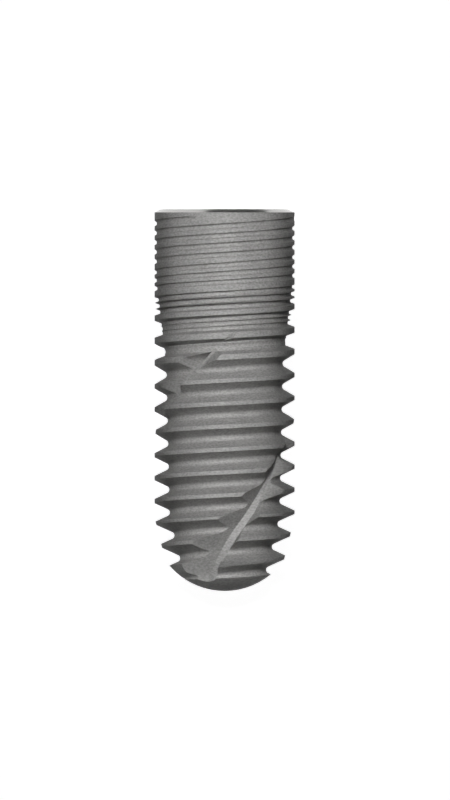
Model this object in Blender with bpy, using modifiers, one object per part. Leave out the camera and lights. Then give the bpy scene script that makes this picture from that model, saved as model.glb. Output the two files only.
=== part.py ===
"""Bone-level dental implant: one threaded, fluted titanium fixture with an internal hex connection.

The fixture is modelled in its own frame, apex at the origin and platform at the top of +Z, and the
empty that carries it lays it down on its thread crests along Y. Depths are measured down from the
platform and heights up from the apex. Azimuth 0 is the side that faces up when the fixture lies.
"""

import math

import bmesh
import bpy
from mathutils import Vector

MM = 0.001

# Turned blank
FIXTURE_LENGTH = 11.45 * MM
CREST_RADIUS = 2.10 * MM
PLATFORM_BEVEL_WIDTH = 0.17 * MM
PLATFORM_BEVEL_HEIGHT = 0.10 * MM
TIP_TAPER_HEIGHT = 2.20 * MM
TIP_TAPER_ANGLE = math.radians(14.0)
APEX_DOME_HEIGHT = 0.932 * MM

# Collar micro-thread of three starts
THREAD_STARTS = 3
MICRO_PITCH = 0.285 * MM
MICRO_DEPTH = 0.060 * MM
MICRO_ROOT_RADIUS = 0.148 * MM
MICRO_ROOT_HALF_ANGLE = math.radians(20.0)
MICRO_FLANK_ANGLE = math.radians(30.0)
FIRST_GROOVE_DEPTH = 0.255 * MM
MIDDLE_GROOVE_DEPTH = 0.225 * MM
GROOVE_RUNOUT_TURNS = 0.06

# Body thread, one groove that the three micro grooves run into
BODY_PITCH = 0.6875 * MM
BODY_CREST_LAND = 0.118 * MM
BODY_ROOT_RADIUS = 0.130 * MM
LEAD_CHANGE_TURN = 2.0
LEAD_CHANGE_TURNS = 1.4
MERGE_START_DEPTH = 1.60 * MM
MERGE_END_DEPTH = 5.22 * MM
MERGE_LAST_SPACING = 0.03 * MM
MERGE_RISE = 0.045 * MM
MERGE_DEEPENING = 1.5

# Tapered core under the thread
CORE_SHOULDER_DEPTH = 2.23 * MM
CORE_SHOULDER_LENGTH = 2.25 * MM
THREAD_DEPTH_UPPER = 0.355 * MM
THREAD_DEPTH_LOWER = 0.463 * MM

# Spiral cutting flutes
FLUTE_COUNT = 2
FLUTE_HEIGHT = 7.19 * MM
FLUTE_RUNOUT_ANGLE = math.radians(30.0)
FLUTE_BELOW_CORE_TOP = 0.03 * MM
FLUTE_BELOW_CORE_TIP = 0.14 * MM
FLUTE_FLOOR_MIN_RADIUS = 1.06 * MM
FLUTE_TIP_HEIGHT = 1.10 * MM
FLUTE_LEAD_TIP = 15.45 * MM
FLUTE_LEAD_TOP = 10.96 * MM
FLUTE_APEX_AZIMUTH = math.radians(-33.7)
FLOOR_STRIP_LEAN = math.radians(75.0)
FLOOR_STRIP_WIDTH_TIP = 0.15 * MM
FLOOR_STRIP_WIDTH_BODY = 0.30 * MM
FLOOR_STRIP_WIDTH_TOP = 0.11 * MM
FLOOR_STRIP_GROWTH_HEIGHT = 0.90 * MM
CUTTING_WALL_LEAN_BODY = math.radians(50.0)
CUTTING_WALL_LEAN_TIP = math.radians(5.0)
CUTTING_EDGE_TOP_HEIGHT = 3.05 * MM
CUTTING_EDGE_BLEND = 0.65 * MM
RELIEF_WALL_LEAN_BODY = math.radians(67.0)
RELIEF_WALL_LEAN_TIP = math.radians(78.0)

# Internal connection
MOUTH_RADIUS = 1.55 * MM
HEX_ACROSS_FLATS = 2.42 * MM
HEX_DEPTH = 1.90 * MM
HEX_PILOT_CLEARANCE = 0.05 * MM
RELIEF_LENGTH = 0.20 * MM
SCREW_BORE_RADIUS = 0.80 * MM
SCREW_BORE_DEPTH = 5.60 * MM
BORE_SEAT_ANGLE = math.radians(45.0)
DRILL_POINT_ANGLE = math.radians(59.0)

# Facets
FACETS_PER_TURN = 32
BODY_ROOT_FACETS = 4
MICRO_ROOT_FACETS = 2
DOME_FACETS = 6
FLUTE_FACET_HEIGHT = 0.28 * MM
CUT_MARGIN = 0.06 * MM
TURN_GAP = 0.04 * MM
WELD_DISTANCE = 0.001 * MM
SMOOTH_ANGLE = math.radians(20.0)

BLASTED_TITANIUM = (0.36, 0.355, 0.345, 1.0)


def clear_scene():
    """Removes every object, so that the script can be run again."""
    for obj in list(bpy.data.objects):
        bpy.data.objects.remove(obj, do_unlink=True)


def new_collection(name):
    """Returns a fresh collection linked to the scene."""
    old = bpy.data.collections.get(name)
    if old is not None:
        bpy.data.collections.remove(old)
    collection = bpy.data.collections.new(name)
    bpy.context.scene.collection.children.link(collection)
    return collection


def titanium_material():
    """Returns the blasted, acid-etched titanium of the whole fixture."""
    material = bpy.data.materials.new("blasted_titanium")
    material.use_nodes = True
    shader = material.node_tree.nodes["Principled BSDF"]
    shader.inputs["Base Color"].default_value = BLASTED_TITANIUM
    shader.inputs["Metallic"].default_value = 0.85
    shader.inputs["Roughness"].default_value = 0.62
    material.diffuse_color = BLASTED_TITANIUM
    return material


def polar(radius, azimuth, height):
    """Returns the point at a radius, an azimuth from the upper side and a height above the apex."""
    return Vector((radius * math.sin(azimuth), -radius * math.cos(azimuth), height))


def corner_radius(radius):
    """Returns the radius of a turned shape's corners where its flats lie at the given radius."""
    return radius / math.cos(math.pi / FACETS_PER_TURN)


def blend(start, end, share):
    """Returns the value a share of the way from start to end, held at both ends."""
    return start + (end - start) * min(1.0, max(0.0, share))


def core_radius(depth):
    """Returns the radius of the core under the thread at a depth below the platform."""
    taper_depth = FIXTURE_LENGTH - TIP_TAPER_HEIGHT
    shoulder_end = CORE_SHOULDER_DEPTH + CORE_SHOULDER_LENGTH
    if depth < shoulder_end:
        share = (depth - CORE_SHOULDER_DEPTH) / CORE_SHOULDER_LENGTH
        return CREST_RADIUS - blend(MICRO_DEPTH, THREAD_DEPTH_UPPER, share)
    share = (depth - shoulder_end) / (taper_depth - shoulder_end)
    radius = CREST_RADIUS - blend(THREAD_DEPTH_UPPER, THREAD_DEPTH_LOWER, share)
    return radius - max(0.0, depth - taper_depth) * math.tan(TIP_TAPER_ANGLE)


def dome_sphere_radius():
    """Returns the radius of the sphere of the domed apex, which starts where the tip taper ends."""
    start_radius = CREST_RADIUS - (TIP_TAPER_HEIGHT - APEX_DOME_HEIGHT) * math.tan(TIP_TAPER_ANGLE)
    return (start_radius**2 + APEX_DOME_HEIGHT**2) / (2.0 * APEX_DOME_HEIGHT)


def blank_profile():
    """Returns the blank's half section, from the bottom of the bore round to the apex."""
    top = FIXTURE_LENGTH
    pilot_radius = HEX_ACROSS_FLATS / 2 - HEX_PILOT_CLEARANCE
    mouth_depth = MOUTH_RADIUS - pilot_radius
    seat_depth = HEX_DEPTH + RELIEF_LENGTH
    seat_length = (pilot_radius - SCREW_BORE_RADIUS) / math.tan(BORE_SEAT_ANGLE)
    point_length = SCREW_BORE_RADIUS / math.tan(DRILL_POINT_ANGLE)
    points = [
        (0.0, top - SCREW_BORE_DEPTH - point_length),
        (SCREW_BORE_RADIUS, top - SCREW_BORE_DEPTH),
        (SCREW_BORE_RADIUS, top - seat_depth - seat_length),
        (pilot_radius, top - seat_depth),
        (pilot_radius, top - mouth_depth),
        (MOUTH_RADIUS, top),
        (CREST_RADIUS - PLATFORM_BEVEL_WIDTH, top),
        (CREST_RADIUS, top - PLATFORM_BEVEL_HEIGHT),
        (CREST_RADIUS, TIP_TAPER_HEIGHT),
    ]
    sphere_radius = dome_sphere_radius()
    dome_angle = math.acos(1.0 - APEX_DOME_HEIGHT / sphere_radius)
    for step in range(DOME_FACETS):
        angle = dome_angle * (1.0 - step / DOME_FACETS)
        height = sphere_radius * (1.0 - math.cos(angle))
        points.append((sphere_radius * math.sin(angle), height))
    points.append((0.0, 0.0))
    return points


def turned_blank(name, collection):
    """Returns the blank, turned from its profile with a facet centred on the upper side."""
    half_facet = math.pi / FACETS_PER_TURN
    mesh = bpy.data.meshes.new(name)
    vertices = []
    for radius, height in blank_profile():
        vertices.append((radius, radius * math.tan(half_facet), height))
    edges = [(i, i + 1) for i in range(len(vertices) - 1)]
    mesh.from_pydata(vertices, edges, [])
    blank = bpy.data.objects.new(name, mesh)
    collection.objects.link(blank)
    screw = blank.modifiers.new("turn", "SCREW")
    screw.axis = "Z"
    screw.angle = 2.0 * math.pi
    screw.steps = FACETS_PER_TURN
    screw.render_steps = FACETS_PER_TURN
    screw.use_merge_vertices = True
    screw.merge_threshold = 1e-7
    screw.use_smooth_shade = False
    return blank


def mark_as_cutter(cutter, collection):
    """Files a cutter away and draws it as a wire."""
    collection.objects.link(cutter)
    cutter.hide_render = True
    cutter.display_type = "WIRE"


def add_loft(bm, sections):
    """Adds a closed shape lofted through sections that all have the same number of points."""
    rings = [[bm.verts.new(point) for point in section] for section in sections]
    for upper, lower in zip(rings, rings[1:]):
        for i in range(len(upper)):
            j = (i + 1) % len(upper)
            bm.faces.new((upper[i], upper[j], lower[j], lower[i]))
    bm.faces.new(list(reversed(rings[0])))
    bm.faces.new(rings[-1])


def lofted_cutter(name, shapes, collection):
    """Returns one cutter made of closed shapes, each lofted through its own sections."""
    bm = bmesh.new()
    for sections in shapes:
        add_loft(bm, sections)
    if bm.calc_volume(signed=True) < 0.0:
        bmesh.ops.reverse_faces(bm, faces=bm.faces)
    mesh = bpy.data.meshes.new(name)
    bm.to_mesh(mesh)
    bm.free()
    cutter = bpy.data.objects.new(name, mesh)
    mark_as_cutter(cutter, collection)
    return cutter


def middle_groove_depth(turns):
    """Returns the depth of the middle groove after a number of turns down from azimuth 0."""
    micro_lead = THREAD_STARTS * MICRO_PITCH
    depth = MIDDLE_GROOVE_DEPTH + micro_lead * turns
    changed = min(max(0.0, turns - LEAD_CHANGE_TURN), LEAD_CHANGE_TURNS)
    depth += (BODY_PITCH - micro_lead) * changed * changed / (2.0 * LEAD_CHANGE_TURNS)
    after = max(0.0, turns - LEAD_CHANGE_TURN - LEAD_CHANGE_TURNS)
    return depth + (BODY_PITCH - micro_lead) * after


def side_spacing(depth):
    """Returns the spacing of the side grooves from the middle one, which narrows as they merge."""
    share = (depth - MERGE_START_DEPTH) / (MERGE_END_DEPTH - MERGE_START_DEPTH)
    return blend(MICRO_PITCH, 0.0, share)


def body_flank_angle(depth):
    """Returns the body thread's flank angle, tangent to the root arc from the edge of the crest."""
    taper_depth = FIXTURE_LENGTH - TIP_TAPER_HEIGHT
    crest_depth = min(max(depth, CORE_SHOULDER_DEPTH + CORE_SHOULDER_LENGTH), taper_depth)
    rise = CREST_RADIUS - core_radius(crest_depth) - BODY_ROOT_RADIUS
    half_width = (BODY_PITCH - BODY_CREST_LAND) / 2
    reach = math.hypot(half_width, rise)
    return math.acos(BODY_ROOT_RADIUS / reach) - math.atan2(rise, half_width)


def groove_section(root, arc_radius, arc_angle, flank_angle, arc_facets):
    """Returns a groove's section as radius and rise, from its upper corner round the root."""
    outer = CREST_RADIUS + CUT_MARGIN
    arc_end = root + arc_radius * (1.0 - math.cos(arc_angle))
    arc_rise = arc_radius * math.sin(arc_angle)
    open_width = arc_rise + (outer - arc_end) * math.tan(flank_angle)
    half_width = min((BODY_PITCH - TURN_GAP) / 2, open_width)
    shoulder = arc_end + (half_width - arc_rise) / math.tan(flank_angle)
    points = [(outer + CUT_MARGIN, half_width), (shoulder, half_width)]
    for step in range(arc_facets + 1):
        angle = arc_angle * (1.0 - 2.0 * step / arc_facets)
        radius = root + arc_radius * (1.0 - math.cos(angle))
        points.append((radius, arc_radius * math.sin(angle)))
    points.append((shoulder, -half_width))
    points.append((outer + CUT_MARGIN, -half_width))
    return points


def groove_cutter(name, side, collection):
    """Returns the cutter of one of the three grooves: side -1 above, 0 middle, 1 below."""
    lead = THREAD_STARTS * MICRO_PITCH
    start = (FIRST_GROOVE_DEPTH - MIDDLE_GROOVE_DEPTH - side * MICRO_PITCH) / lead
    step = math.floor(start * FACETS_PER_TURN)
    arc_facets = BODY_ROOT_FACETS if side == 0 else MICRO_ROOT_FACETS
    sections = []
    while True:
        turns = (step + 0.5) / FACETS_PER_TURN
        middle = middle_groove_depth(turns)
        spacing = side_spacing(middle)
        merged = 1.0 - spacing / MICRO_PITCH
        depth = middle + side * spacing
        if side == 0 and depth > FIXTURE_LENGTH + BODY_PITCH:
            break
        if side != 0 and spacing < MERGE_LAST_SPACING:
            break
        root = core_radius(depth)
        arc_radius = MICRO_ROOT_RADIUS
        arc_angle = MICRO_ROOT_HALF_ANGLE
        flank = MICRO_FLANK_ANGLE
        if side == 0:
            body_flank = body_flank_angle(depth)
            deepening = MERGE_DEEPENING * merged
            arc_radius = blend(arc_radius, BODY_ROOT_RADIUS, deepening)
            arc_angle = blend(arc_angle, math.pi / 2 - body_flank, deepening)
            flank = blend(flank, body_flank, deepening)
        else:
            root += MERGE_RISE * merged * merged
        root = blend(CREST_RADIUS + MICRO_DEPTH, root, (turns - start) / GROOVE_RUNOUT_TURNS)
        azimuth = -2.0 * math.pi * turns
        height = FIXTURE_LENGTH - depth
        section = []
        for radius, rise in groove_section(root, arc_radius, arc_angle, flank, arc_facets):
            section.append(polar(corner_radius(radius), azimuth, height + rise))
        sections.append(section)
        step += 1
    return lofted_cutter(name, [sections], collection)


def flute_azimuth(height):
    """Returns the azimuth of the flute's floor line, which twists faster towards the platform."""
    tip_rate = 2.0 * math.pi / FLUTE_LEAD_TIP
    top_rate = 2.0 * math.pi / FLUTE_LEAD_TOP
    growth = (top_rate - tip_rate) / FLUTE_HEIGHT
    return FLUTE_APEX_AZIMUTH + tip_rate * height + growth * height * height / 2.0


def flute_floor_radius(height):
    """Returns the radius of the flute's floor line, which rises out of the thread at the top."""
    share = (FLUTE_HEIGHT - height) / (FLUTE_HEIGHT - FLUTE_TIP_HEIGHT)
    share = min(1.0, max(0.0, share))
    below = blend(FLUTE_BELOW_CORE_TOP, FLUTE_BELOW_CORE_TIP, share * share)
    radius = max(core_radius(FIXTURE_LENGTH - height) - below, FLUTE_FLOOR_MIN_RADIUS)
    return radius + max(0.0, height - FLUTE_HEIGHT) * math.tan(FLUTE_RUNOUT_ANGLE)


def floor_strip_width(height):
    """Returns the width of the flute's flat floor strip, widest just below the cutting edge's top."""
    growth_length = CUTTING_EDGE_TOP_HEIGHT - CUTTING_EDGE_BLEND - FLOOR_STRIP_GROWTH_HEIGHT
    growth_share = (height - FLOOR_STRIP_GROWTH_HEIGHT) / growth_length
    width = blend(FLOOR_STRIP_WIDTH_TIP, FLOOR_STRIP_WIDTH_BODY, growth_share)
    top_share = (height - CUTTING_EDGE_TOP_HEIGHT + CUTTING_EDGE_BLEND) / CUTTING_EDGE_BLEND
    return blend(width, FLOOR_STRIP_WIDTH_TOP, top_share)


def flute_section(height, turn_angle):
    """Returns the flute's section: floor line, strip, cutting wall edge and relief wall edge."""
    edge_share = (CUTTING_EDGE_TOP_HEIGHT - height) / CUTTING_EDGE_BLEND
    cutting_lean = blend(CUTTING_WALL_LEAN_BODY, CUTTING_WALL_LEAN_TIP, edge_share)
    tip_share = 1.0 - height / TIP_TAPER_HEIGHT
    relief_lean = blend(RELIEF_WALL_LEAN_BODY, RELIEF_WALL_LEAN_TIP, tip_share)
    floor_radius = flute_floor_radius(height)
    azimuth = flute_azimuth(height) + turn_angle
    out = polar(1.0, azimuth, 0.0)
    across = polar(1.0, azimuth + math.pi / 2, 0.0)
    reach = max(CREST_RADIUS, floor_radius) + CUT_MARGIN - floor_radius
    floor = polar(floor_radius, azimuth, height)
    strip_width = floor_strip_width(height)
    strip_rise = strip_width / math.tan(FLOOR_STRIP_LEAN)
    strip_edge = floor + out * strip_rise + across * strip_width
    wall = reach - strip_rise
    cutting_edge = strip_edge + out * wall + across * wall * math.tan(cutting_lean)
    relief_edge = floor + out * reach - across * reach * math.tan(relief_lean)
    return [floor, strip_edge, cutting_edge, relief_edge]


def flute_cutter(name, collection):
    """Returns the cutter of the flutes, from past the apex to where they run out of the crests."""
    rise = CREST_RADIUS + CUT_MARGIN - flute_floor_radius(FLUTE_HEIGHT)
    top = FLUTE_HEIGHT + rise / math.tan(FLUTE_RUNOUT_ANGLE)
    bottom = -CUT_MARGIN
    count = math.ceil((top - bottom) / FLUTE_FACET_HEIGHT)
    heights = [top + (bottom - top) * i / count for i in range(count + 1)]
    shapes = []
    for flute in range(FLUTE_COUNT):
        turn_angle = 2.0 * math.pi * flute / FLUTE_COUNT
        shapes.append([flute_section(height, turn_angle) for height in heights])
    return lofted_cutter(name, shapes, collection)


def hex_cutter(name, collection):
    """Returns the hexagonal broach of the internal connection."""
    length = HEX_DEPTH + CUT_MARGIN
    corner_radius = HEX_ACROSS_FLATS / 2 / math.cos(math.pi / 6)
    bm = bmesh.new()
    bmesh.ops.create_cone(
        bm, cap_ends=True, segments=6, radius1=corner_radius, radius2=corner_radius, depth=length
    )
    mesh = bpy.data.meshes.new(name)
    bm.to_mesh(mesh)
    bm.free()
    cutter = bpy.data.objects.new(name, mesh)
    cutter.location = (0.0, 0.0, FIXTURE_LENGTH - HEX_DEPTH + length / 2)
    mark_as_cutter(cutter, collection)
    return cutter


def cut(target, cutter, weld_specks):
    """Subtracts a cutter with an exact Boolean and, where asked, welds the specks that it leaves."""
    boolean = target.modifiers.new(cutter.name, "BOOLEAN")
    boolean.operation = "DIFFERENCE"
    boolean.solver = "EXACT"
    boolean.object = cutter
    if weld_specks:
        weld = target.modifiers.new(f"{cutter.name}_weld", "WELD")
        weld.merge_threshold = WELD_DISTANCE


def body_of(vertex, unvisited):
    """Returns the vertices joined to one vertex, and takes them out of the unvisited set."""
    unvisited.remove(vertex)
    body = [vertex]
    for found in body:
        for edge in found.link_edges:
            other = edge.other_vert(found)
            if other in unvisited:
                unvisited.remove(other)
                body.append(other)
    return body


def clear_chips(obj):
    """Bakes the machining and removes the chips that cutters leave where their facets cross."""
    depsgraph = bpy.context.evaluated_depsgraph_get()
    machined = bpy.data.meshes.new_from_object(obj.evaluated_get(depsgraph))
    bm = bmesh.new()
    bm.from_mesh(machined)
    unvisited = set(bm.verts)
    bodies = []
    while unvisited:
        bodies.append(body_of(next(iter(unvisited)), unvisited))
    bodies.sort(key=len)
    for chip in bodies[:-1]:
        bmesh.ops.delete(bm, geom=chip, context="VERTS")
    bm.to_mesh(machined)
    bm.free()
    machined.shade_smooth()
    machined.set_sharp_from_angle(angle=SMOOTH_ANGLE)
    obj.modifiers.clear()
    obj.data = machined


def lying_frame(collection):
    """Returns the empty that lays the fixture on its crests, centred over the origin."""
    frame = bpy.data.objects.new("fixture_frame", None)
    collection.objects.link(frame)
    frame.rotation_euler = (-math.pi / 2, 0.0, 0.0)
    frame.location = (0.0, -FIXTURE_LENGTH / 2, CREST_RADIUS)
    return frame


def build():
    """Builds the fixture."""
    clear_scene()
    implant = new_collection("dental_implant")
    cutters = new_collection("cutters")
    fixture = turned_blank("implant_fixture", implant)
    fixture.data.materials.append(titanium_material())
    tools = [hex_cutter("hex_broach", cutters)]
    for side, name in ((0, "middle_groove"), (-1, "upper_groove"), (1, "lower_groove")):
        tools.append(groove_cutter(name, side, cutters))
    for tool in tools:
        cut(fixture, tool, weld_specks=True)
    flutes = flute_cutter("flutes", cutters)
    cut(fixture, flutes, weld_specks=False)
    clear_chips(fixture)
    frame = lying_frame(implant)
    for obj in [fixture, flutes] + tools:
        obj.parent = frame


build()
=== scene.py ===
"""Looks of a bone-level dental implant: a blasted titanium fixture lying on a plain pale floor.

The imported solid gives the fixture's length, its crest radius and its place. The piece built here
follows the same profile, threads, flutes and socket with many more facets, and adds the fine
thread of the screw bore. Depths run down from the platform, heights up from the apex, and
azimuth 0 is the side that faces up.
"""

import logging
import math
from dataclasses import dataclass, field
from enum import Enum

import bmesh
import bpy
from mathutils import Matrix, Vector

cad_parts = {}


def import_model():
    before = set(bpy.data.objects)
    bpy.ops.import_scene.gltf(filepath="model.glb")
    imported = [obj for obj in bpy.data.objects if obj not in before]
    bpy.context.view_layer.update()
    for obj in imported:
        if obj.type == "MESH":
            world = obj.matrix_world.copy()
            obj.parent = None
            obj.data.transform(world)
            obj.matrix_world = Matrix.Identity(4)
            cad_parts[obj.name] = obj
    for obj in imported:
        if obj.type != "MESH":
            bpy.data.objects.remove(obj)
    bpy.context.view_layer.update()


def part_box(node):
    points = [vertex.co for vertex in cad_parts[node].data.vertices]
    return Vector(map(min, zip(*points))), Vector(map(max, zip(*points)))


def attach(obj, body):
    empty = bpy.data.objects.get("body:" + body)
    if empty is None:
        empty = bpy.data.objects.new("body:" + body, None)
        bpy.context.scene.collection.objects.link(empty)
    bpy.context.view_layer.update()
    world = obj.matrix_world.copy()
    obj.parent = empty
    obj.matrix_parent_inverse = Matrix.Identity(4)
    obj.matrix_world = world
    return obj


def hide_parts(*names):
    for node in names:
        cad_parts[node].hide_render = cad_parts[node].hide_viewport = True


MM = 0.001
HEX_SIDES = 6
WAVE_RADIANS = 20.0  # the phase that a wave texture gains in a unit of length at a scale of 1
LOG = logging.getLogger("implant")

Profile = list[tuple[float, float]]
Section = list[Vector]


class Groove(Enum):
    """The three starts of the collar thread, valued by their place beside the middle one."""

    UPPER = -1
    MIDDLE = 0
    LOWER = 1


class Finish(Enum):
    """The surface finishes of the fixture, valued by their material slot."""

    BLASTED = 0
    POLISHED = 1
    MACHINED = 2


def blend(start: float, end: float, share: float) -> float:
    """Gives the value a share of the way between two values, held at both ends.

    Args:
        start: Value at a share of 0 or less.
        end: Value at a share of 1 or more.
        share: How far to go from start to end.

    Returns:
        The blended value.
    """
    return start + (end - start) * min(1.0, max(0.0, share))


def polar(radius: float, azimuth: float, height: float) -> Vector:
    """Gives a point of the fixture's own frame.

    Args:
        radius: Distance from the axis.
        azimuth: Angle from the upper side, counterclockwise seen from the platform.
        height: Height above the apex.

    Returns:
        The point, with the axis along Z.
    """
    return Vector((radius * math.sin(azimuth), -radius * math.cos(azimuth), height))


def add_object(name: str, data: bpy.types.ID) -> bpy.types.Object:
    """Adds an object to the scene.

    Args:
        name: Name of the object.
        data: Its mesh, lamp or camera.

    Returns:
        The object.
    """
    obj = bpy.data.objects.new(name, data)
    bpy.context.scene.collection.objects.link(obj)
    return obj


def stored_mesh(name: str, bm: bmesh.types.BMesh) -> bpy.types.Mesh:
    """Stores a mesh that was built face by face.

    Args:
        name: Name of the mesh.
        bm: The mesh as built, which is freed.

    Returns:
        The stored mesh.
    """
    mesh = bpy.data.meshes.new(name)
    bm.to_mesh(mesh)
    bm.free()
    return mesh


def face_outwards(bm: bmesh.types.BMesh) -> None:
    """Turns the faces of a closed mesh outwards, if they point inwards."""
    if bm.calc_volume(signed=True) < 0.0:
        bmesh.ops.reverse_faces(bm, faces=bm.faces)


def closed_mesh(name: str, shapes: list[list[Section]]) -> bpy.types.Mesh:
    """Lofts closed shapes through their sections.

    Args:
        name: Name of the mesh.
        shapes: For each shape its sections, all with the same number of points.

    Returns:
        A mesh whose faces point out.
    """
    bm = bmesh.new()
    for sections in shapes:
        rings = [[bm.verts.new(point) for point in section] for section in sections]
        for upper, lower in zip(rings, rings[1:]):
            for i, corner in enumerate(upper):
                j = (i + 1) % len(upper)
                bm.faces.new((corner, upper[j], lower[j], lower[i]))
        bm.faces.new(list(reversed(rings[0])))
        bm.faces.new(rings[-1])
    face_outwards(bm)
    return stored_mesh(name, bm)


def turned_mesh(name: str, profile: Profile, facets: int) -> bpy.types.Mesh:
    """Turns a half section round the axis.

    Args:
        name: Name of the mesh.
        profile: Radius and height of each corner, the first and the last on the axis.
        facets: Facets in a full turn, with a corner half a facet from azimuth 0.

    Returns:
        The turned, closed mesh, with its faces pointing out.
    """
    bm = bmesh.new()
    first = bm.verts.new((0.0, 0.0, profile[0][1]))
    last = bm.verts.new((0.0, 0.0, profile[-1][1]))
    angles = [2.0 * math.pi * (i + 0.5) / facets for i in range(facets)]
    rings = []
    for radius, height in profile[1:-1]:
        rings.append([bm.verts.new(polar(radius, angle, height)) for angle in angles])
    for i in range(facets):
        j = (i + 1) % facets
        bm.faces.new((first, rings[0][i], rings[0][j]))
        for inner, outer in zip(rings, rings[1:]):
            bm.faces.new((inner[i], outer[i], outer[j], inner[j]))
        bm.faces.new((rings[-1][i], last, rings[-1][j]))
    face_outwards(bm)
    return stored_mesh(name, bm)


def cut(target: bpy.types.Mesh, cutter: bpy.types.Mesh) -> bpy.types.Mesh:
    """Subtracts one closed mesh from another.

    Args:
        target: Mesh that is cut.
        cutter: Mesh of the space that the tool sweeps.

    Returns:
        The cut mesh. Both given meshes are removed.
    """
    body = add_object("body", target)
    tool = add_object("tool", cutter)
    boolean = body.modifiers.new("cut", "BOOLEAN")
    boolean.operation = "DIFFERENCE"
    boolean.solver = "MANIFOLD"
    boolean.object = tool
    depsgraph = bpy.context.evaluated_depsgraph_get()
    result = bpy.data.meshes.new_from_object(body.evaluated_get(depsgraph))
    for obj in (body, tool):
        bpy.data.objects.remove(obj, do_unlink=True)
    for mesh in (target, cutter):
        bpy.data.meshes.remove(mesh)
    return result


def drop_chips(mesh: bpy.types.Mesh) -> None:
    """Removes the specks that lie loose beside the largest body of a mesh.

    Args:
        mesh: Mesh that is cleaned in place.
    """
    bm = bmesh.new()
    bm.from_mesh(mesh)
    unvisited = set(bm.verts)
    bodies = []
    while unvisited:
        body = [unvisited.pop()]
        for vertex in body:
            for edge in vertex.link_edges:
                other = edge.other_vert(vertex)
                if other in unvisited:
                    unvisited.remove(other)
                    body.append(other)
        bodies.append(body)
    bodies.sort(key=len)
    for chip in bodies[:-1]:
        bmesh.ops.delete(bm, geom=chip, context="VERTS")
    bm.to_mesh(mesh)
    bm.free()


def new_material(name: str) -> bpy.types.Material:
    """Adds a material that is made of nodes.

    Args:
        name: Name of the material.

    Returns:
        The material, with its standard shader in place.
    """
    material = bpy.data.materials.new(name)
    material.use_nodes = True
    return material


def map_range(
    tree: bpy.types.NodeTree,
    value: bpy.types.NodeSocket,
    low: float,
    high: float,
    span: tuple[float, float] = (0.0, 1.0),
) -> bpy.types.NodeSocket:
    """Adds a node that maps a value onto a range.

    Args:
        tree: Nodes of the material or the world.
        value: What is mapped.
        low: Result at the low end of the span and below it.
        high: Result at the high end of the span and above it.
        span: The ends between which the value is mapped.

    Returns:
        The result.
    """
    node = tree.nodes.new("ShaderNodeMapRange")
    for name, number in zip(("From Min", "From Max", "To Min", "To Max"), (*span, low, high)):
        node.inputs[name].default_value = number
    tree.links.new(value, node.inputs["Value"])
    return node.outputs["Result"]


def add_bump(
    tree: bpy.types.NodeTree, height: bpy.types.NodeSocket, strength: float, distance: float
) -> None:
    """Gives a material's standard shader a fine relief.

    Args:
        tree: Nodes of the material.
        height: The relief, from 0 to 1.
        strength: How much of the relief shows.
        distance: Height of the relief at 1.
    """
    bump = tree.nodes.new("ShaderNodeBump")
    bump.inputs["Strength"].default_value = strength
    bump.inputs["Distance"].default_value = distance
    tree.links.new(height, bump.inputs["Height"])
    tree.links.new(bump.outputs["Normal"], tree.nodes["Principled BSDF"].inputs["Normal"])


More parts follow.
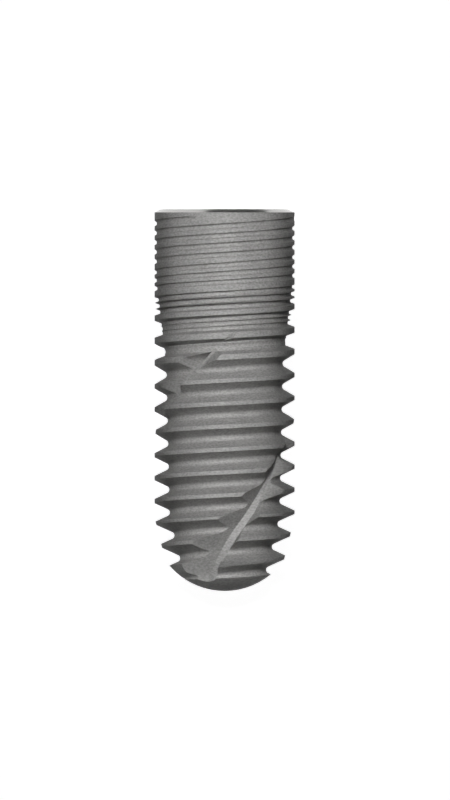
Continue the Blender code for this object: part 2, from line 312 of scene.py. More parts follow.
@dataclass(frozen=True)
class BlastedTitanium:
    """Grit-blasted, acid-etched titanium: matt grey, its fine grain drawn out by the turning.

    Larger patches, a little lighter or darker, lie under the grain. The noise of both is read
    over noise_span, and the grain is grain_flatness times as wide as it is high.
    """

    colour: tuple[float, float, float] = (0.322, 0.319, 0.3125)
    metallic: float = 0.3
    specular: float = 0.05
    roughness: float = 0.66
    roughness_spread: float = 0.06
    grain_size: float = 0.08 * MM
    grain_detail: float = 3.0
    grain_stretch: float = 1.7
    grain_contrast: float = 0.22
    grain_bump: float = 0.12
    grain_flatness: float = 3.0
    patch_size: float = 0.6 * MM
    patch_detail: float = 2.0
    patch_contrast: float = 0.05
    noise_span: tuple[float, float] = (0.3, 0.7)

    def noise(
        self, tree: bpy.types.NodeTree, place: bpy.types.NodeSocket, size: float, detail: float
    ) -> bpy.types.NodeSocket:
        """Adds a noise texture.

        Args:
            tree: Nodes of the material.
            place: Where the texture is read.
            size: Size of its spots.
            detail: How often finer spots are laid over them.

        Returns:
            The noise, around a half.
        """
        texture = tree.nodes.new("ShaderNodeTexNoise")
        texture.inputs["Scale"].default_value = 1.0 / size
        texture.inputs["Detail"].default_value = detail
        tree.links.new(place, texture.inputs["Vector"])
        return texture.outputs["Fac"]

    def material(self) -> bpy.types.Material:
        """Builds the material.

        Returns:
            A node material whose grain is set in metres on the object.
        """
        material = new_material("blasted_titanium")
        tree = material.node_tree
        shader = tree.nodes["Principled BSDF"]
        shader.inputs["Metallic"].default_value = self.metallic
        shader.inputs["Specular IOR Level"].default_value = self.specular
        place = tree.nodes.new("ShaderNodeTexCoord").outputs["Object"]
        turned = tree.nodes.new("ShaderNodeMapping")
        turned.inputs["Scale"].default_value = (1.0, self.grain_stretch, 1.0)
        tree.links.new(place, turned.inputs["Vector"])
        grain = self.noise(tree, turned.outputs["Vector"], self.grain_size, self.grain_detail)
        patches = self.noise(tree, place, self.patch_size, self.patch_detail)
        shade = tree.nodes.new("ShaderNodeMath")
        shade.operation = "MULTIPLY"
        contrasts = ((grain, self.grain_contrast), (patches, self.patch_contrast))
        for factor, (noise, contrast) in zip(shade.inputs, contrasts):
            span = map_range(tree, noise, 1.0 - contrast, 1.0 + contrast, self.noise_span)
            tree.links.new(span, factor)
        tint = tree.nodes.new("ShaderNodeVectorMath")
        tint.operation = "SCALE"
        tint.inputs[0].default_value = self.colour
        tree.links.new(shade.outputs["Value"], tint.inputs["Scale"])
        tree.links.new(tint.outputs["Vector"], shader.inputs["Base Color"])
        smoothest = self.roughness - self.roughness_spread
        roughest = self.roughness + self.roughness_spread
        rough = map_range(tree, patches, smoothest, roughest)
        tree.links.new(rough, shader.inputs["Roughness"])
        add_bump(tree, grain, self.grain_bump, self.grain_size / self.grain_flatness)
        return material


@dataclass(frozen=True)
class CutTitanium:
    """Bare titanium as the lathe or the broach leaves it, with fine turning marks.

    The roughness changes by roughness_share of itself between the marks.
    """

    name: str
    colour: tuple[float, float, float]
    roughness: float
    roughness_share: float = 0.2
    mark_pitch: float = 0.075398 * MM
    mark_height: float = 0.003 * MM
    mark_distortion: float = 1.5
    mark_detail: float = 2.0
    mark_bump: float = 0.12

    def material(self) -> bpy.types.Material:
        """Builds the material.

        Returns:
            A metallic node material with rings along the fixture's axis.
        """
        material = new_material(self.name)
        tree = material.node_tree
        shader = tree.nodes["Principled BSDF"]
        shader.inputs["Metallic"].default_value = 1.0
        shader.inputs["Base Color"].default_value = (*self.colour, 1.0)
        place = tree.nodes.new("ShaderNodeTexCoord")
        marks = tree.nodes.new("ShaderNodeTexWave")
        marks.bands_direction = "Y"
        marks.inputs["Scale"].default_value = 2.0 * math.pi / (self.mark_pitch * WAVE_RADIANS)
        marks.inputs["Distortion"].default_value = self.mark_distortion
        marks.inputs["Detail"].default_value = self.mark_detail
        tree.links.new(place.outputs["Object"], marks.inputs["Vector"])
        smoothest = self.roughness * (1.0 - self.roughness_share)
        roughest = self.roughness * (1.0 + self.roughness_share)
        rough = map_range(tree, marks.outputs["Fac"], smoothest, roughest)
        tree.links.new(rough, shader.inputs["Roughness"])
        add_bump(tree, marks.outputs["Fac"], self.mark_bump, self.mark_height)
        return material


@dataclass(frozen=True)
class PaleFloor:
    """A plain floor that shows white, and gives little light back to the object's flanks.

    It is grey with an added glow where it is seen, and bounced_grey to the light it scatters.
    """

    glow: float = 0.97
    grey: float = 0.6
    bounced_grey: float = 0.08

    def material(self) -> bpy.types.Material:
        """Builds the material.

        Returns:
            A diffuse material that keeps shadows, lifted to white where it is seen directly.
        """
        material = new_material("pale_floor")
        nodes = material.node_tree.nodes
        links = material.node_tree.links
        nodes.remove(nodes["Principled BSDF"])
        path = nodes.new("ShaderNodeLightPath")
        seen = path.outputs["Is Camera Ray"]
        for kind in ("Is Glossy Ray", "Is Transmission Ray"):
            either = nodes.new("ShaderNodeMath")
            either.operation = "MAXIMUM"
            links.new(seen, either.inputs[0])
            links.new(path.outputs[kind], either.inputs[1])
            seen = either.outputs["Value"]
        lift = nodes.new("ShaderNodeMath")
        lift.operation = "MULTIPLY"
        lift.inputs[1].default_value = self.glow
        links.new(seen, lift.inputs[0])
        glow = nodes.new("ShaderNodeEmission")
        links.new(lift.outputs["Value"], glow.inputs["Strength"])
        surface = nodes.new("ShaderNodeBsdfDiffuse")
        shade = map_range(material.node_tree, seen, self.bounced_grey, self.grey)
        links.new(shade, surface.inputs["Color"])
        both = nodes.new("ShaderNodeAddShader")
        links.new(surface.outputs["BSDF"], both.inputs[0])
        links.new(glow.outputs["Emission"], both.inputs[1])
        links.new(both.outputs["Shader"], nodes["Material Output"].inputs["Surface"])
        return material


@dataclass(frozen=True)
class Card:
    """Matt card stock, laid where the fixture should mirror something darker than the floor."""

    grey: float
    roughness: float = 0.9

    def material(self) -> bpy.types.Material:
        """Builds the material.

        Returns:
            A plain grey material.
        """
        material = new_material("card")
        shader = material.node_tree.nodes["Principled BSDF"]
        shader.inputs["Base Color"].default_value = (self.grey, self.grey, self.grey, 1.0)
        shader.inputs["Roughness"].default_value = self.roughness
        return material


@dataclass
class Blank:
    """The turned blank: platform, bevel, straight crests, tapered tip and domed apex."""

    length: float
    crest_radius: float
    bevel_width: float = 0.17 * MM
    bevel_height: float = 0.10 * MM
    taper_height: float = 2.20 * MM
    taper_angle: float = math.radians(14.0)
    dome_height: float = 0.932 * MM
    dome_facets: int = 24
    facets: int = 144

    def dome_radius(self) -> float:
        """Gives the radius of the apex's sphere.

        Returns:
            The radius at which the sphere starts where the tip taper ends.
        """
        taper = (self.taper_height - self.dome_height) * math.tan(self.taper_angle)
        start_radius = self.crest_radius - taper
        return (start_radius**2 + self.dome_height**2) / (2.0 * self.dome_height)

    def outer_profile(self) -> Profile:
        """Gives the outside from the platform's edge to the apex.

        Returns:
            Radius and height of each corner.
        """
        points = [
            (self.crest_radius - self.bevel_width, self.length),
            (self.crest_radius, self.length - self.bevel_height),
            (self.crest_radius, self.taper_height),
        ]
        sphere_radius = self.dome_radius()
        dome_angle = math.acos(1.0 - self.dome_height / sphere_radius)
        for step in range(self.dome_facets):
            angle = dome_angle * (1.0 - step / self.dome_facets)
            height = sphere_radius * (1.0 - math.cos(angle))
            points.append((sphere_radius * math.sin(angle), height))
        points.append((0.0, 0.0))
        return points


@dataclass
class Socket:
    """The internal connection: countersunk hex, relief, threaded screw bore and drill point.

    The screw thread's mouth is a share of its pitch, its root a share of its mouth, and its
    cutter starts inside the bore by a share of its depth.
    """

    mouth_radius: float = 1.55 * MM
    across_flats: float = 2.42 * MM
    hex_depth: float = 1.90 * MM
    pilot_clearance: float = 0.05 * MM
    relief_length: float = 0.20 * MM
    bore_radius: float = 0.80 * MM
    bore_depth: float = 5.60 * MM
    seat_angle: float = math.radians(45.0)
    point_angle: float = math.radians(59.0)
    screw_pitch: float = 0.353 * MM
    screw_depth: float = 0.11 * MM
    screw_mouth_share: float = 0.8
    screw_root_share: float = 0.1
    screw_overlap_share: float = 0.4
    screw_facets: int = 48

    def pilot_radius(self) -> float:
        """Gives the radius of the bore that the hex is broached from."""
        return self.across_flats / 2 - self.pilot_clearance

    def seat_depth(self) -> float:
        """Gives the depth at which the cone down to the screw bore starts."""
        return self.hex_depth + self.relief_length

    def bore_top(self) -> float:
        """Gives the depth at which the screw bore starts."""
        narrowing = self.pilot_radius() - self.bore_radius
        return self.seat_depth() + narrowing / math.tan(self.seat_angle)

    def profile(self, top: float) -> Profile:
        """Gives the inside from the drill point up to the mouth.

        Args:
            top: Height of the platform.

        Returns:
            Radius and height of each corner.
        """
        point_length = self.bore_radius / math.tan(self.point_angle)
        mouth_depth = self.mouth_radius - self.pilot_radius()
        return [
            (0.0, top - self.bore_depth - point_length),
            (self.bore_radius, top - self.bore_depth),
            (self.bore_radius, top - self.bore_top()),
            (self.pilot_radius(), top - self.seat_depth()),
            (self.pilot_radius(), top - mouth_depth),
            (self.mouth_radius, top),
        ]

    def broach(self, top: float, margin: float) -> bpy.types.Mesh:
        """Builds the hexagonal cutter.

        Args:
            top: Height of the platform.
            margin: How far the cutter stands out of the mouth.

        Returns:
            The cutter's mesh.
        """
        corner = self.across_flats / 2 / math.cos(math.pi / HEX_SIDES)
        angles = [2.0 * math.pi * (i + 0.5) / HEX_SIDES for i in range(HEX_SIDES)]
        heights = (top + margin, top - self.hex_depth)
        sections = [[polar(corner, angle, height) for angle in angles] for height in heights]
        return closed_mesh("hex_broach", [sections])

    def tap(self, top: float) -> bpy.types.Mesh:
        """Builds the cutter of the bore's fine thread.

        Args:
            top: Height of the platform.

        Returns:
            The cutter's mesh.
        """
        half = self.screw_pitch * self.screw_mouth_share / 2
        root_half = half * self.screw_root_share
        inner = self.bore_radius - self.screw_depth * self.screw_overlap_share
        outer = self.bore_radius + self.screw_depth
        corners = ((inner, half), (outer, root_half), (outer, -root_half), (inner, -half))
        start = self.bore_top() + self.screw_pitch
        turns = (self.bore_depth - self.screw_pitch - start) / self.screw_pitch
        sections = []
        for step in range(math.floor(turns * self.screw_facets) + 1):
            turn = step / self.screw_facets
            azimuth = -2.0 * math.pi * turn
            height = top - start - turn * self.screw_pitch
            sections.append([polar(radius, azimuth, height + rise) for radius, rise in corners])
        return closed_mesh("bore_tap", [sections])


@dataclass
class Thread:
    """The collar's three fine starts and the deep body thread that they run into.

    The side grooves close in on the middle one between merge_start and merge_end. They end at a
    spacing of merge_last, with their roots raised by up to merge_rise. The middle groove takes
    on the body thread's form between two shares of the merge. Flanks are measured from the
    radial direction. The lead changes over a number of turns, counted from azimuth 0.
    """

    blank: Blank
    starts: int = 3
    micro_pitch: float = 0.285 * MM
    micro_depth: float = 0.066 * MM
    micro_root_radius: float = 0.148 * MM
    micro_root_angle: float = math.radians(20.0)
    micro_upper_flank: float = math.radians(34.0)
    micro_lower_flank: float = math.radians(30.0)
    merge_flank: float = math.radians(20.0)
    merge_steepening: float = 4.0
    first_depth: float = 0.255 * MM
    middle_depth: float = 0.225 * MM
    runout_turns: float = 0.06
    body_pitch: float = 0.6875 * MM
    crest_land: float = 0.118 * MM
    body_root_radius: float = 0.118 * MM
    turn_gap: float = 0.04 * MM
    lead_change_start: float = 2.0
    lead_change_length: float = 1.4
    merge_start: float = 1.60 * MM
    merge_end: float = 5.22 * MM
    merge_last: float = 0.03 * MM
    merge_rise: float = 0.045 * MM
    merge_round_from: float = 0.45
    merge_round_to: float = 0.85
    shoulder_depth: float = 2.23 * MM
    shoulder_length: float = 2.25 * MM
    depth_upper: float = 0.355 * MM
    depth_lower: float = 0.463 * MM
    root_facets: int = 8

    def shoulder_end(self) -> float:
        """Gives the depth at which the first taper of the core ends."""
        return self.shoulder_depth + self.shoulder_length

    def taper_depth(self) -> float:
        """Gives the depth at which the taper of the tip starts."""
        return self.blank.length - self.blank.taper_height

    def core_radius(self, depth: float) -> float:
        """Gives the radius of the core under the thread.

        Args:
            depth: Depth below the platform.

        Returns:
            The radius, which falls in three tapers.
        """
        crest_radius = self.blank.crest_radius
        if depth < self.shoulder_end():
            share = (depth - self.shoulder_depth) / self.shoulder_length
            return crest_radius - blend(self.micro_depth, self.depth_upper, share)
        share = (depth - self.shoulder_end()) / (self.taper_depth() - self.shoulder_end())
        radius = crest_radius - blend(self.depth_upper, self.depth_lower, share)
        return radius - max(0.0, depth - self.taper_depth()) * math.tan(self.blank.taper_angle)

    def middle_groove(self, turns: float) -> float:
        """Gives the depth of the middle groove below the platform.

        Args:
            turns: Turns made on the way down, from azimuth 0.

        Returns:
            The depth, with the lead falling from that of the collar to that of the body.
        """
        lead = self.starts * self.micro_pitch
        change = self.body_pitch - lead
        depth = self.middle_depth + lead * turns
        since_start = max(0.0, turns - self.lead_change_start)
        changed = min(since_start, self.lead_change_length)
        depth += change * changed * changed / (2.0 * self.lead_change_length)
        return depth + change * max(0.0, since_start - self.lead_change_length)

    def spacing(self, depth: float) -> float:
        """Gives the spacing of the side grooves from the middle one at a depth."""
        share = (depth - self.merge_start) / (self.merge_end - self.merge_start)
        return blend(self.micro_pitch, 0.0, share)

    def body_flank(self, depth: float) -> float:
        """Gives the flank angle of the body thread, tangent to its root from the crest's edge.

        Args:
            depth: Depth below the platform.

        Returns:
            The angle between a flank and the radial direction.
        """
        crest_depth = min(max(depth, self.shoulder_end()), self.taper_depth())
        rise = self.blank.crest_radius - self.core_radius(crest_depth) - self.body_root_radius
        half_width = (self.body_pitch - self.crest_land) / 2
        reach = math.hypot(half_width, rise)
        return math.acos(self.body_root_radius / reach) - math.atan2(rise, half_width)

    def section(
        self,
        root: float,
        arc_radius: float,
        arc_angle: float,
        flanks: tuple[float, float],
        margin: float,
    ) -> Profile:
        """Gives the outline of a groove's cutter.

        Args:
            root: Radius of the groove's root.
            arc_radius: Radius of the arc at the root.
            arc_angle: Angle from the arc's middle to either end.
            flanks: Angles between the upper and the lower flank and the radial direction.
            margin: How far the cutter stands out of the crests.

        Returns:
            Radius and rise of each corner, from the upper one round the root to the lower one.
        """
        outer = self.blank.crest_radius + margin
        arc_end = root + arc_radius * (1.0 - math.cos(arc_angle))
        arc_rise = arc_radius * math.sin(arc_angle)
        shoulders = []
        for flank in flanks:
            open_width = arc_rise + (outer - arc_end) * math.tan(flank)
            half_width = min((self.body_pitch - self.turn_gap) / 2, open_width)
            shoulders.append((arc_end + (half_width - arc_rise) / math.tan(flank), half_width))
        (upper, upper_rise), (lower, lower_fall) = shoulders
        points = [(outer + margin, upper_rise), (upper, upper_rise)]
        for step in range(self.root_facets + 1):
            angle = arc_angle * (1.0 - 2.0 * step / self.root_facets)
            radius = root + arc_radius * (1.0 - math.cos(angle))
            points.append((radius, arc_radius * math.sin(angle)))
        points.append((lower, -lower_fall))
        points.append((outer + margin, -lower_fall))
        return points

    def form(
        self, groove: Groove, depth: float, merged: float
    ) -> tuple[float, float, tuple[float, float]]:
        """Gives the form of a groove, which the middle one changes into the body thread's.

        Args:
            groove: Which of the three grooves.
            depth: Depth below the platform.
            merged: How far the three have run together, from 0 to 1.

        Returns:
            The root's arc radius, the angle from the arc's middle to either end, and the angles
            between the upper and the lower flank and the radial direction.
        """
        arc_radius = self.micro_root_radius
        arc_angle = self.micro_root_angle
        steepening = self.merge_steepening * merged
        upper = blend(self.micro_upper_flank, self.merge_flank, steepening)
        lower = blend(self.micro_lower_flank, self.merge_flank, steepening)
        if groove is Groove.MIDDLE:
            body_flank = self.body_flank(depth)
            round_span = self.merge_round_to - self.merge_round_from
            deepening = (merged - self.merge_round_from) / round_span
            arc_radius = blend(arc_radius, self.body_root_radius, deepening)
            arc_angle = blend(arc_angle, math.pi / 2 - body_flank, deepening)
            upper = blend(upper, body_flank, deepening)
            lower = blend(lower, body_flank, deepening)
        return arc_radius, arc_angle, (upper, lower)

    def cutter(self, groove: Groove, margin: float) -> bpy.types.Mesh:
        """Builds the cutter of one groove, from the collar down to where it ends.

        Args:
            groove: Which of the three grooves.
            margin: How far the cutter stands out of the crests.

        Returns:
            The cutter's mesh.
        """
        blank = self.blank
        side = groove.value
        lead = self.starts * self.micro_pitch
        start = (self.first_depth - self.middle_depth - side * self.micro_pitch) / lead
        clear = blank.crest_radius + self.micro_depth
        step = math.floor(start * blank.facets)
        sections = []
        while True:
            turns = (step + 0.5) / blank.facets
            middle = self.middle_groove(turns)
            spacing = self.spacing(middle)
            merged = 1.0 - spacing / self.micro_pitch
            depth = middle + side * spacing
            if groove is Groove.MIDDLE and depth > blank.length + self.body_pitch:
                break
            if groove is not Groove.MIDDLE and spacing < self.merge_last:
                break
            root = self.core_radius(depth)
            if groove is not Groove.MIDDLE:
                root += self.merge_rise * merged * merged
            root = blend(clear, root, (turns - start) / self.runout_turns)
            azimuth = -2.0 * math.pi * turns
            height = blank.length - depth
            arc_radius, arc_angle, flanks = self.form(groove, depth, merged)
            outline = self.section(root, arc_radius, arc_angle, flanks, margin)
            sections.append([polar(radius, azimuth, height + rise) for radius, rise in outline])
            step += 1
        return closed_mesh(f"{groove.name.lower()}_groove", [sections])


@dataclass
class Flutes:
    """The two spiral cutting flutes, each with a cutting wall and a wide relief wall.

    A flat strip lies on the floor between the walls. The cutting edge of the tip ends at
    edge_top_height. The walls' leans are measured from the radial direction.
    """

    thread: Thread
    count: int = 2
    height: float = 7.19 * MM
    runout_angle: float = math.radians(24.0)
    below_core_top: float = 0.03 * MM
    below_core_tip: float = 0.14 * MM
    least_radius: float = 1.06 * MM
    tip_height: float = 1.10 * MM
    lead_tip: float = 15.45 * MM
    lead_top: float = 10.96 * MM
    apex_azimuth: float = math.radians(-33.7)
    strip_lean: float = math.radians(75.0)
    strip_width_tip: float = 0.24 * MM
    strip_width_body: float = 0.235 * MM
    strip_width_top: float = 0.11 * MM
    strip_tip_height: float = 0.90 * MM
    edge_top_height: float = 3.05 * MM
    edge_blend: float = 0.65 * MM
    cutting_lean_tip: float = math.radians(5.0)
    cutting_lean_body: float = math.radians(50.0)
    cutting_lean_steep: float = math.radians(15.0)
    steep_start_height: float = 5.2 * MM
    steep_end_height: float = 6.3 * MM
    steep_fade_length: float = 0.3 * MM
    relief_lean_body: float = math.radians(67.0)
    relief_lean_tip: float = math.radians(82.0)
    relief_fade_height: float = 6.93 * MM
    relief_fade_length: float = 0.27 * MM
    facet_height: float = 0.06 * MM

    def azimuth(self, height: float) -> float:
        """Gives the azimuth of the floor line at a height.

        Args:
            height: Height above the apex.

        Returns:
            The azimuth, on a spiral whose lead shortens upwards.
        """
        tip_rate = 2.0 * math.pi / self.lead_tip
        growth = (2.0 * math.pi / self.lead_top - tip_rate) / self.height
        return self.apex_azimuth + tip_rate * height + growth * height * height / 2.0

    def floor_radius(self, height: float) -> float:
        """Gives the radius of the floor line at a height.

        Args:
            height: Height above the apex.

        Returns:
            The radius, a little under the core's, which rises above it at the flute's top.
        """
        share = (self.height - height) / (self.height - self.tip_height)
        share = min(1.0, max(0.0, share))
        below = blend(self.below_core_top, self.below_core_tip, share * share)
        core = self.thread.core_radius(self.thread.blank.length - height)
        rise = max(0.0, height - self.height) * math.tan(self.runout_angle)
        return max(core - below, self.least_radius) + rise

    def strip_width(self, height: float) -> float:
        """Gives the width of the flat floor strip, which narrows where the cutting edge ends.

        Args:
            height: Height above the apex.

        Returns:
            The width across the flute.
        """
        body_length = self.edge_top_height - self.edge_blend - self.strip_tip_height
        body_share = (height - self.strip_tip_height) / body_length
        width = blend(self.strip_width_tip, self.strip_width_body, body_share)
        top_share = (height - self.edge_top_height + self.edge_blend) / self.edge_blend
        return blend(width, self.strip_width_top, top_share)

    def cutting_lean(self, height: float) -> float:
        """Gives the lean of the cutting wall, which is steep at the tip and again halfway up.

        Args:
            height: Height above the apex.

        Returns:
            The angle between the wall and the radial direction.
        """
        tip_share = (self.edge_top_height - height) / self.edge_blend
        lean = blend(self.cutting_lean_body, self.cutting_lean_tip, tip_share)
        steep_length = self.steep_start_height - self.edge_top_height
        steep_share = (height - self.edge_top_height) / steep_length
        lean = blend(lean, self.cutting_lean_steep, steep_share)
        fade_share = (height - self.steep_end_height) / self.steep_fade_length
        return blend(lean, self.cutting_lean_body, fade_share)

    def relief_lean(self, height: float) -> float:
        """Gives the lean of the relief wall, which closes at the flute's upper end.

        Args:
            height: Height above the apex.

        Returns:
            The angle between the wall and the radial direction.
        """
        tip_share = 1.0 - height / self.thread.blank.taper_height
        lean = blend(self.relief_lean_body, self.relief_lean_tip, tip_share)
        fade = blend(0.0, 1.0, (height - self.relief_fade_height) / self.relief_fade_length)
        return lean * (1.0 - fade * fade)

    def section(self, height: float, turn: float, margin: float) -> Section:
        """Gives the flute's outline at a height.

        Args:
            height: Height above the apex.
            turn: Angle by which the flute is turned from the first.
            margin: How far the cutter stands out of the crests.

        Returns:
            The floor line, the strip's edge and the ends of the cutting and relief walls.
        """
        radius = self.floor_radius(height)
        azimuth = self.azimuth(height) + turn
        floor = polar(radius, azimuth, height)
        out = polar(1.0, azimuth, 0.0)
        across = polar(1.0, azimuth + math.pi / 2, 0.0)
        reach = max(self.thread.blank.crest_radius, radius) + margin - radius
        width = self.strip_width(height)
        rise = width / math.tan(self.strip_lean)
        strip_edge = floor + out * rise + across * width
        wall = reach - rise
        cutting_edge = strip_edge + out * wall + across * wall * math.tan(self.cutting_lean(height))
        relief_edge = floor + out * reach - across * reach * math.tan(self.relief_lean(height))
        return [floor, strip_edge, cutting_edge, relief_edge]

    def cutter(self, margin: float) -> bpy.types.Mesh:
        """Builds the cutter of all the flutes.

        Args:
            margin: How far the cutter stands out of the crests and of the apex.

        Returns:
            The cutter's mesh.
        """
        rise = self.thread.blank.crest_radius + margin - self.floor_radius(self.height)
        top = self.height + rise / math.tan(self.runout_angle)
        count = math.ceil((top + margin) / self.facet_height)
        heights = [top - (top + margin) * i / count for i in range(count + 1)]
        shapes = []
        for flute in range(self.count):
            turn = 2.0 * math.pi * flute / self.count
            shapes.append([self.section(height, turn, margin) for height in heights])
        return closed_mesh("flutes", shapes)


@dataclass
class Fixture:
    """The one-piece implant fixture, machined from its blank and laid on its crests.

    The cutters stand out of the blank by margin. The bare finish of the socket goes past the
    bore's full depth by point_allowance, and so takes in the drill point.
    """

    blank: Blank
    centre: Vector
    socket: Socket = field(default_factory=Socket)
    blasted: BlastedTitanium = BlastedTitanium()
    polished: CutTitanium = CutTitanium("polished_titanium", (0.47, 0.465, 0.455), 0.2)
    machined: CutTitanium = CutTitanium("machined_titanium", (0.56, 0.55, 0.53), 0.32)
    margin: float = 0.06 * MM
    flat_tolerance: float = 0.001 * MM
    point_allowance: float = 1.0 * MM
    smooth_angle: float = math.radians(24.0)

    def cut_shape(self) -> bpy.types.Mesh:
        """Cuts the blank with every tool.

        Returns:
            The fixture's mesh in its own frame, with the axis along Z.
        """
        blank = self.blank
        profile = self.socket.profile(blank.length) + blank.outer_profile()
        mesh = turned_mesh("implant", profile, blank.facets)
        mesh = cut(mesh, self.socket.broach(blank.length, self.margin))
        mesh = cut(mesh, self.socket.tap(blank.length))
        thread = Thread(blank)
        for groove in (Groove.MIDDLE, Groove.UPPER, Groove.LOWER):
            mesh = cut(mesh, thread.cutter(groove, self.margin))
            LOG.info("%s groove cut: %d faces", groove.name.lower(), len(mesh.polygons))
        mesh = cut(mesh, Flutes(thread).cutter(self.margin))
        drop_chips(mesh)
        return mesh

    def finish_of(self, centre: Vector, normal: Vector) -> Finish:
        """Says which finish a face has.

        Args:
            centre: The face's centre in the fixture's own frame.
            normal: The face's normal there.

        Returns:
            Its finish.
        """
        blank = self.blank
        radius = math.hypot(centre.x, centre.y)
        depth = blank.length - centre.z
        outward = normal.x * centre.x + normal.y * centre.y
        if depth < self.flat_tolerance:
            return Finish.MACHINED
        if depth < blank.bevel_height and outward > 0.0:
            return Finish.POLISHED
        socket_end = self.socket.bore_depth + self.point_allowance
        if radius < self.socket.mouth_radius and depth < socket_end and outward <= 0.0:
            return Finish.MACHINED
        return Finish.BLASTED

    def build(self) -> bpy.types.Object:
        """Builds the fixture, lays it down and dresses it.

        Returns:
            The finished object.
        """
        mesh = self.cut_shape()
        mesh.materials.clear()
        finishes = {
            Finish.BLASTED: self.blasted,
            Finish.POLISHED: self.polished,
            Finish.MACHINED: self.machined,
        }
        for finish in Finish:
            mesh.materials.append(finishes[finish].material())
        for face in mesh.polygons:
            face.material_index = self.finish_of(face.center, face.normal).value
        lay_down = Matrix.Rotation(-math.pi / 2, 4, "X")
        rest = self.centre - Vector((0.0, self.blank.length / 2, 0.0))
        mesh.transform(Matrix.Translation(rest) @ lay_down)
        mesh.shade_smooth()
        mesh.set_sharp_from_angle(angle=self.smooth_angle)
        return add_object("titanium_fixture", mesh)


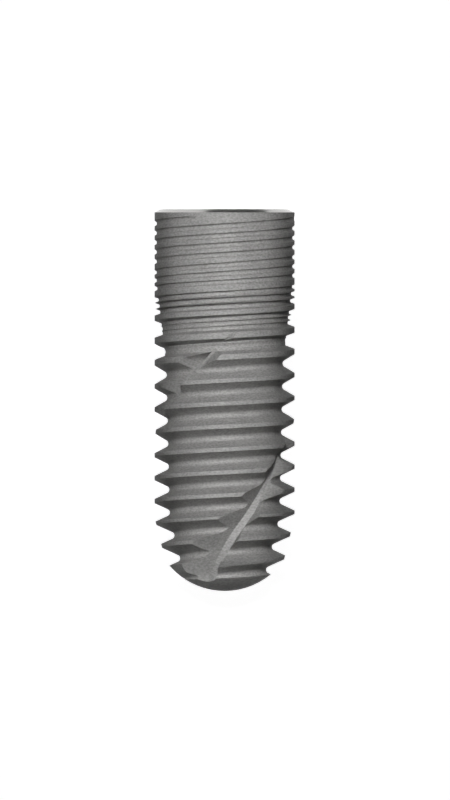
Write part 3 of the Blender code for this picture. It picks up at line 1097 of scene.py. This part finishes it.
@dataclass
class Studio:
    """The pale floor, the soft lamps and the long-lens camera above the lying fixture.

    The fixture takes up frame_share of the picture's height. A lamp's level is the brightness
    that it gives a white surface facing it. The cards' sides and the side cards' top are
    measured from the fixture's centre, and the other gaps from its ends.
    """

    fixture_length: float
    centre: Vector
    frame_share: float = 0.4775
    camera_distance: float = 80.0 * MM
    camera_right: float = 0.013 * MM
    clip_start_share: float = 0.05
    clip_end_share: float = 10.0
    floor_radius: float = 0.26
    sweep_radius: float = 0.08
    sweep_facets: int = 12
    floor_facets: int = 96
    bar_distance: float = 0.24
    bar_width: float = 0.1
    bar_depth: float = 0.03
    bar_tilt: float = math.radians(14.0)
    bar_turn: float = math.radians(-2.2)
    bar_level: float = 0.06
    strip_distance: float = 14.0 * MM
    strip_width: float = 3.6 * MM
    strip_length: float = 18.0 * MM
    strip_spread: float = math.radians(8.2)
    strip_tilt: float = math.radians(15.5)
    strip_turn: float = math.radians(-2.2)
    strip_level: float = 1.0
    world_level: float = 0.015
    card_height: float = 0.02 * MM
    card_reach: float = 26.0 * MM
    side_card_grey: float = 0.2
    tip_card_grey: float = 0.1
    head_card_grey: float = 0.85
    left_card_gap: float = 5.0 * MM
    right_card_gap: float = 3.5 * MM
    side_card_top: float = 5.0 * MM
    tip_card_gap: float = 2.5 * MM
    head_card_left: float = -1.6 * MM
    head_card_right: float = 3.5 * MM
    head_card_gap: float = 3.7 * MM
    head_card_length: float = 6.6 * MM

    def lay_floor(self) -> bpy.types.Object:
        """Builds the round floor with its rim swept up as a backdrop.

        Returns:
            The floor.
        """
        profile = []
        for step in range(self.sweep_facets + 1):
            angle = math.pi / 2 * step / self.sweep_facets
            out = self.floor_radius + self.sweep_radius * math.sin(angle)
            profile.append((out, self.sweep_radius * (1.0 - math.cos(angle))))
        bm = bmesh.new()
        centre = bm.verts.new((0.0, 0.0, 0.0))
        angles = [2.0 * math.pi * i / self.floor_facets for i in range(self.floor_facets)]
        rings = []
        for radius, height in profile:
            rings.append([bm.verts.new(polar(radius, angle, height)) for angle in angles])
        for i in range(self.floor_facets):
            j = (i + 1) % self.floor_facets
            bm.faces.new((centre, rings[0][i], rings[0][j]))
            for inner, outer in zip(rings, rings[1:]):
                bm.faces.new((inner[i], outer[i], outer[j], inner[j]))
        mesh = stored_mesh("floor", bm)
        mesh.shade_smooth()
        mesh.materials.append(PaleFloor().material())
        return add_object("floor", mesh)

    def aim(self, obj: bpy.types.Object) -> None:
        """Turns a lamp or a camera towards the fixture, with its top towards the platform.

        Args:
            obj: The lamp or the camera, in its place.
        """
        away = (obj.location - self.centre).normalized()
        right = Vector((0.0, 1.0, 0.0)).cross(away).normalized()
        up = away.cross(right)
        obj.rotation_euler = Matrix((right, up, away)).transposed().to_euler()

    def hang(self, data: bpy.types.AreaLight, distance: float, tilt: float, turn: float) -> None:
        """Hangs a lamp over the fixture.

        Args:
            data: The lamp.
            distance: How far it hangs from the fixture.
            tilt: Angle from the vertical towards the platform.
            turn: Angle from the vertical towards the right.
        """
        lamp = add_object(data.name, data)
        direction = Vector((math.sin(turn), math.sin(tilt), 0.0))
        direction.z = math.sqrt(1.0 - direction.length_squared)
        lamp.location = self.centre + direction * distance
        lamp.visible_camera = False
        self.aim(lamp)

    def hang_bar(self) -> None:
        """Hangs the soft bar lamp across the fixture, beside the camera."""
        data = bpy.data.lights.new("bar_lamp", "AREA")
        data.shape = "RECTANGLE"
        data.size = self.bar_width
        data.size_y = self.bar_depth
        # far off, its light on a facing surface is its power over pi times the distance squared
        data.energy = self.bar_level * math.pi**2 * self.bar_distance**2
        self.hang(data, self.bar_distance, self.bar_tilt, self.bar_turn)

    def hang_strip(self) -> None:
        """Hangs the gridded strip box along the fixture, whose light falls off sideways."""
        data = bpy.data.lights.new("strip_lamp", "AREA")
        data.shape = "RECTANGLE"
        data.size = self.strip_width
        data.size_y = self.strip_length
        data.spread = self.strip_spread
        # behind the grid its light is nearly parallel, and lights an area of the box's own size
        data.energy = self.strip_level * math.pi * self.strip_width * self.strip_length
        self.hang(data, self.strip_distance, self.strip_tilt, self.strip_turn)

    def lay_card(
        self, name: str, card: Card, low: tuple[float, float], high: tuple[float, float]
    ) -> None:
        """Lays a card on the floor, which shows in the fixture's glints alone.

        Args:
            name: Name of the card.
            card: What it is made of.
            low: Its corner with the smallest x and y, from the fixture's centre.
            high: Its corner with the largest x and y.
        """
        corners = ((low[0], low[1]), (high[0], low[1]), (high[0], high[1]), (low[0], high[1]))
        bm = bmesh.new()
        bm.faces.new([bm.verts.new((x, y, self.card_height)) for x, y in corners])
        mesh = stored_mesh(name, bm)
        mesh.materials.append(card.material())
        sheet = add_object(name, mesh)
        sheet.location = (self.centre.x, self.centre.y, 0.0)
        sheet.visible_camera = False
        sheet.visible_diffuse = False
        sheet.visible_shadow = False

    def lay_cards(self) -> None:
        """Lays the cards that keep the white floor out of the flanks, the apex and the bevel."""
        end = self.fixture_length / 2
        far = self.card_reach
        side = Card(self.side_card_grey)
        self.lay_card("left_card", side, (-far, -end), (-self.left_card_gap, self.side_card_top))
        self.lay_card("right_card", side, (self.right_card_gap, -end), (far, self.side_card_top))
        tip_high = (far, -end - self.tip_card_gap)
        self.lay_card("tip_card", Card(self.tip_card_grey), (-far, -far), tip_high)
        near = end + self.head_card_gap
        head_low = (self.head_card_left, near)
        head_high = (self.head_card_right, near + self.head_card_length)
        self.lay_card("head_card", Card(self.head_card_grey), head_low, head_high)

    def set_world(self) -> None:
        """Sets a dim even world, which the camera alone sees as white."""
        world = bpy.data.worlds.new("studio_world")
        world.use_nodes = True
        tree = world.node_tree
        background = tree.nodes["Background"]
        background.inputs["Color"].default_value = (1.0, 1.0, 1.0, 1.0)
        path = tree.nodes.new("ShaderNodeLightPath")
        level = map_range(tree, path.outputs["Is Camera Ray"], self.world_level, 1.0)
        tree.links.new(level, background.inputs["Strength"])
        bpy.context.scene.world = world

    def set_camera(self) -> None:
        """Sets the camera straight above the fixture, without perspective as from far off."""
        data = bpy.data.cameras.new("camera")
        data.type = "ORTHO"
        data.ortho_scale = self.fixture_length / self.frame_share
        data.clip_start = self.camera_distance * self.clip_start_share
        data.clip_end = self.camera_distance * self.clip_end_share
        camera = add_object("camera", data)
        camera.location = self.centre + Vector((0.0, 0.0, self.camera_distance))
        self.aim(camera)
        camera.location.x += self.camera_right
        bpy.context.scene.camera = camera


def main() -> None:
    """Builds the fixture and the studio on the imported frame."""
    logging.basicConfig(level=logging.INFO, format="%(name)s: %(message)s")
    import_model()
    low, high = (Vector(corner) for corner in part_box("implant_fixture"))
    centre = (low + high) / 2
    blank = Blank(length=high.y - low.y, crest_radius=(high.x - low.x) / 2)
    piece = Fixture(blank, centre).build()
    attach(piece, "root")
    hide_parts("implant_fixture")
    LOG.info("%s: %d faces", piece.name, len(piece.data.polygons))
    studio = Studio(blank.length, centre)
    studio.lay_floor()
    studio.lay_cards()
    studio.hang_bar()
    studio.hang_strip()
    studio.set_world()
    studio.set_camera()
    bpy.context.scene.view_settings.view_transform = "Standard"


if __name__ == "__main__":
    main()
